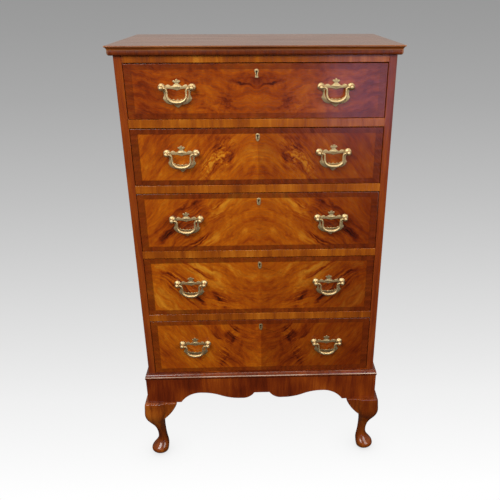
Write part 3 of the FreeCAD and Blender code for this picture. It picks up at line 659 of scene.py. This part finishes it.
def turned(name, profile, steps=28):
    """Turns a profile of (radius, distance forward) in mm about a line towards the viewer."""
    bpy.ops.object.select_all(action="DESELECT")
    bpy.ops.mesh.primitive_plane_add(size=MM, location=(0, 0, 0))
    piece = bpy.context.object
    piece.name = name
    bpy.ops.object.mode_set(mode="EDIT")
    bpy.ops.mesh.select_mode(type="VERT")
    bpy.ops.mesh.select_all(action="SELECT")
    bpy.ops.mesh.merge(type="CENTER")
    radius, forward = profile[0]
    bpy.ops.transform.translate(value=(radius * MM, -forward * MM, 0))
    for following in profile[1:]:
        step = ((following[0] - radius) * MM, -(following[1] - forward) * MM, 0)
        bpy.ops.mesh.extrude_region_move(TRANSFORM_OT_translate={"value": step})
        radius, forward = following
    bpy.ops.mesh.select_all(action="SELECT")
    bpy.ops.mesh.spin(steps=steps, angle=2 * pi, center=(0, 0, 0), axis=(0, 1, 0))
    bpy.ops.object.mode_set(mode="OBJECT")
    weld(piece, 2 * FINE_WELD)
    return piece


def backplate_outlines():
    """Swan-neck plate: finial, scrolled shoulders, a round at each post, spurs and a pointed drop."""
    # A curve of the crest starts at every second point and passes through the one after it.
    crest = [
        (0.0, 19.4), (3.0, 17.4), (2.8, 14.6), (6.8, 16.4), (9.2, 13.4), (6.6, 11.4), (4.0, 10.0),
        (5.4, 7.6), (8.6, 6.0), (11.0, 3.4), (14.5, 2.8), (20.8, 6.6), (27.6, 2.6),
    ]
    side = [
        ((27.6, 2.6), (36.0, 9.2), (45.7, -0.4)), ((45.7, -0.4), (40.5, -7.8), (34.0, -8.2)),
        ((34.0, -8.2), (31.6, -16.0), (35.4, -24.6)), ((35.4, -24.6), (24.0, -37.5), (10.5, -39.6)),
        ((10.5, -39.6), (6.0, -43.6), (0.0, -48.0)),
    ]
    right = [crest[0]]
    for index in range(0, len(crest) - 2, 2):
        right += arc(crest[index], crest[index + 1], crest[index + 2])
    for start, via, end in side:
        right += arc(start, via, end, 10)
    left = [(-x, z) for x, z in reversed(right[1:-1])]
    hole = [(0.0, -7.0)]
    for via, end in (((12.0, -3.6), (25.0, -3.6)), ((27.4, -12.0), (26.0, -20.5)),
                     ((22.5, -25.4), (18.0, -24.4)), ((14.5, -28.4), (9.5, -26.4)),
                     ((4.8, -29.6), (0.0, -27.0))):
        hole += arc(hole[-1], via, end)
    hole += [(-x, z) for x, z in reversed(hole[1:-1])]
    return [right + left, hole]


def swing_bail(name):
    """Cast bail: a pin at each end, slender arms and a full grip, thickest where it is pulled."""
    line = bpy.data.curves.new(name, "CURVE")
    line.dimensions = "3D"
    line.bevel_depth = MM
    line.bevel_resolution = 5
    line.use_fill_caps = True
    line.resolution_u = 8
    half = [
        (36.0, 0.0, 1.6), (32.4, 0.0, 1.7), (30.6, -0.1, 2.7), (28.4, -0.4, 3.0), (25.6, -1.9, 2.5),
        (23.9, -5.4, 2.5), (23.3, -12.0, 2.6), (23.2, -18.6, 3.0), (20.0, -26.2, 3.6),
        (12.0, -31.6, 4.1),
    ]
    points = [(-x, z, radius) for x, z, radius in half] + [(0.0, -33.4, 4.4)] + half[::-1]
    path = line.splines.new("BEZIER")
    path.bezier_points.add(len(points) - 1)
    for knot, (x, z, radius) in zip(path.bezier_points, points):
        knot.co = (x * MM, -PIVOT_OUT * MM, z * MM)
        knot.radius = radius
        knot.handle_left_type = knot.handle_right_type = "AUTO"
    piece = bpy.data.objects.new(name, line)
    bpy.context.scene.collection.objects.link(piece)
    only(piece)
    bpy.ops.object.convert(target="MESH")
    piece = bpy.context.object
    weld(piece, FINE_WELD)
    return piece


def moved_copy(piece, name, offset):
    """A repeat of a finished piece with its own mesh, its place in that mesh."""
    twin = piece.copy()
    twin.data = piece.data.copy()
    twin.name = name
    bpy.context.scene.collection.objects.link(twin)
    only(twin)
    twin.location = offset
    bpy.ops.object.transform_apply(location=True, rotation=False, scale=False)
    return twin


def model_handle():
    """One backplate with its turned posts and nuts, centred between the posts on the drawer face."""
    plate = flat_plate("handle_plate", backplate_outlines(), PLATE_THICKNESS)
    boss = turned("crown_boss", [(0.0, 2.9), (3.0, 2.75), (5.2, 2.4), (6.4, 1.8), (6.6, 1.0)], 24)
    boss.scale = (1.5, 1.0, 0.55)
    boss.location = (0.0, 0.0, 1.6 * MM)
    only(boss)
    bpy.ops.object.transform_apply(location=True, rotation=False, scale=True)
    turns = [radians(NECK - NECK * step / 10) for step in range(10)]
    ball = [(BALL * sin(turn), PIVOT_OUT + BALL * cos(turn)) for turn in turns]
    post = turned("handle_post", [
        (0.0, -29.0), (2.3, -29.0), (2.4, -28.5), (2.4, -24.0), (5.6, -24.0), (6.0, -23.6),
        (6.0, -20.4), (5.6, -20.0), (2.4, -20.0), (2.4, 1.0), (8.4, 1.9), (8.7, 2.5), (8.2, 3.3),
        (6.4, 4.3), (5.2, 4.9), (4.4, 5.8), (3.2, 6.6), (2.9, 8.2), (3.1, 9.6), (3.5, 10.4),
    ] + ball + [(0.0, PIVOT_OUT + BALL)])
    posts = [moved_copy(post, "handle_post_left", (-POST_HALF * MM, 0, 0)),
             moved_copy(post, "handle_post_right", (POST_HALF * MM, 0, 0))]
    only(plate)
    for part in [boss] + posts:
        part.select_set(True)
    bpy.ops.object.join()
    bpy.data.objects.remove(post)
    smooth(plate, 40)
    return plate


def escutcheon_outlines(level):
    """Keyhole plate: keyhole-shaped on the top drawer, a teardrop on the next, shields below."""
    waist, foot = {1: (3.0, 4.6), 2: (4.6, 1.6)}.get(level, (4.8, 2.4))
    rim = [(5.0, 3.0)] + arc((5.0, 3.0), (0.0, 10.0), (-5.0, 3.0), 16)
    rim += arc((-5.0, 3.0), (-waist, -3.0), (-foot, -10.2), 8)
    rim += arc((-foot, -10.2), (0.0, -10.8), (foot, -10.2), 4)
    rim += arc((foot, -10.2), (waist, -3.0), (5.0, 3.0), 8)[:-1]
    hole = [(-1.2, 0.92)] + arc((-1.2, 0.92), (0.0, 5.4), (1.2, 0.92), 14)
    return [rim, hole + [(1.2, -6.0), (-1.2, -6.0)]]


KEYHOLE_DROP = 10 * MM          # from the top of a keyhole plate to its middle, the keyhole
# Where each bail turns, by the body that it moves.
PIVOTS = {joint["child"]: joint["pos_m"] for joint in frame["joints"] if joint["type"] == "hinge"}


def fit_brass():
    """A handle at each side of every drawer and a keyhole plate in its middle."""
    handle = model_handle()
    bail = swing_bail("bail")
    smooth(bail, 60)
    for level in DRAWERS:
        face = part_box(f"drawer_{level}_front")[0].y
        hardware = f"drawer_{level}_hardware"
        for side in ("left", "right"):
            node = f"drawer_{level}_{side}_bail"
            place = (PIVOTS[node][0], face, PIVOTS[node][2])
            plate = moved_copy(handle, f"handle_{level}_{side}", place)
            place_piece(plate, f"drawer_{level}", brass, "brass", hardware)
            grip = moved_copy(bail, f"bail_{level}_{side}", place)
            place_piece(grip, node, brass, "brass", node)
        outlines = escutcheon_outlines(level)
        keyplate = flat_plate(f"keyhole_plate_{level}", outlines, KEYPLATE_THICKNESS)
        keyplate.location = (0.0, face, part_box(hardware)[1].z - KEYHOLE_DROP)
        only(keyplate)
        bpy.ops.object.transform_apply(location=True, rotation=False, scale=False)
        smooth(keyplate, 40)
        place_piece(keyplate, f"drawer_{level}", brass, "brass", hardware)
    bpy.data.objects.remove(handle)
    bpy.data.objects.remove(bail)


ease_woodwork()
carve_legs()
fit_brass()


# ---- Floor, light and camera --------------------------------------------
CAMERA_PLACE = (0.00225, -1.6837, 1.3274)
CAMERA_FALL = 25.409            # degrees that it looks down, and to the right of straight ahead
CAMERA_TURN = 2.155
FLOOR_DROP = 0.5 * MM           # keeps the floor just clear of the feet
FLOOR_SIZE = 400                # metres, so that its edge is at the horizon
WHITE_AHEAD = 1.3               # metres ahead of the camera, nearer than which the floor is white


def pale_floor():
    """Even studio floor that glows with its own painted light, paling towards the viewer's side, with
    only a faint painted contact shadow; it is hidden from reflections and bounced light.
    """
    material, tree = new_tree("studio_floor")
    place = add(tree, "TexCoord").outputs["Object"]
    depth = add(tree, "SeparateXYZ", (place,)).outputs["Y"]
    ahead = add(tree, "Math", (depth, -CAMERA_PLACE[1]), operation="ADD")
    ahead = add(tree, "Math", (ahead, WHITE_AHEAD), operation="MAXIMUM")
    nearness = add(tree, "Math", (1.0, ahead), operation="DIVIDE")
    paint = add(tree, "ValToRGB", (nearness,), stops=(
        (0.0, "989898"), (0.0377, "9d9d9d"), (0.1166, "a9a9a9"), (0.2437, "c0c0c0"),
        (0.3912, "d9d9d9"), (0.5646, "f0f0f0"), (0.6632, "f8f8f8"), (0.7645, "ffffff")))
    # Painted contact shadow: the floor's own glow is dimmed where the chest closes it in.
    open_sky = add(tree, "AmbientOcclusion", {"Distance": 90 * MM}, samples=12)
    shadow = add(tree, "MapRange", (open_sky.outputs["AO"], 0.2, 1.0, 0.8, 1.0))
    shaded = add(tree, "VectorMath", (paint, shadow), operation="MULTIPLY")
    glow = add(tree, "Emission", {"Color": shaded, "Strength": 1.0})
    add(tree, "OutputMaterial", (glow,))
    bpy.ops.mesh.primitive_plane_add(size=FLOOR_SIZE, location=(0, 0, -FLOOR_DROP))
    floor = bpy.context.object
    floor.name = "studio_floor"
    dress(floor, material)
    floor.visible_glossy = False
    floor.visible_diffuse = False


def soft_light(name, place, aim, size, power, colour="ffffff", depth=None):
    """Softbox turned towards a point, square unless its depth is given. Metres and watts."""
    lamp = bpy.data.lights.new(name, "AREA")
    lamp.shape = "RECTANGLE"
    lamp.size = size
    lamp.size_y = depth or size
    lamp.energy = power
    lamp.color = linear(colour)[:3]
    holder = bpy.data.objects.new(name, lamp)
    bpy.context.scene.collection.objects.link(holder)
    holder.location = place
    holder.rotation_euler = (Vector(aim) - Vector(place)).to_track_quat("-Z", "Y").to_euler()
    holder.visible_camera = False


def studio_world():
    """Soft room light: dim in front of the chest, brighter behind and above it."""
    world = bpy.data.worlds.new("studio")
    bpy.context.scene.world = world
    world.use_nodes = True
    tree = world.node_tree
    tree.nodes.clear()
    sky = add(tree, "TexCoord").outputs["Generated"]
    way = add(tree, "SeparateXYZ", (sky,))
    above = add(tree, "MapRange", (way.outputs["Z"], -0.05, 0.6, 0.03, 0.4))
    behind = add(tree, "MapRange", (way.outputs["Y"], 0.1, 0.9, 0.0, 0.5))
    higher = add(tree, "MapRange", (way.outputs["Z"], -0.1, 0.0, 0.0, 1.0))
    behind = add(tree, "Math", (behind, higher), operation="MULTIPLY")
    room = add(tree, "Math", (above, behind), operation="MAXIMUM")
    room = add(tree, "VectorMath", (room, (1.0, 0.92, 0.84)), operation="MULTIPLY")
    seen = add(tree, "LightPath").outputs["Is Camera Ray"]
    # White behind the viewer and grey behind the chest, as the floor is.
    away = (way.outputs["Y"], -0.4, 0.4, 0.0, 1.0)
    away = add(tree, "MapRange", away, interpolation_type="SMOOTHSTEP")
    backdrop = add(tree, "MixRGB", (away, linear("ffffff"), linear("989898")))
    shown = add(tree, "MixRGB", (seen, room, backdrop))
    light = add(tree, "Background", (shown, 1.0))
    add(tree, "OutputWorld", (light,))


def camera():
    """Stands before the chest a little above its top, looking down at it."""
    lens = bpy.data.cameras.new("camera")
    lens.lens = 42.55
    lens.sensor_width = 36.0
    lens.shift_x = -0.0617
    lens.shift_y = 0.05
    holder = bpy.data.objects.new("camera", lens)
    bpy.context.scene.collection.objects.link(holder)
    holder.location = CAMERA_PLACE
    holder.rotation_euler = (radians(90 - CAMERA_FALL), 0.0, radians(-CAMERA_TURN))
    bpy.context.scene.camera = holder


pale_floor()
studio_world()
soft_light("key_softbox", (-1.5, -2.6, 2.7), (0, 0, 0.7), 1.6, 75)
soft_light("fill_softbox", (1.7, -2.3, 1.9), (0, 0, 0.6), 1.4, 32)
soft_light("window", (0.76, -3.2, 0.68), (0.25, -0.2, 1.05), 0.5, 2.9, "a9b4f0")
soft_light("strip", (0.1, -0.6, 2.9), (0, -0.2, 0.3), 1.5, 9, "ffeedd", depth=0.3)
camera()
bpy.context.scene.view_settings.view_transform = "Standard"
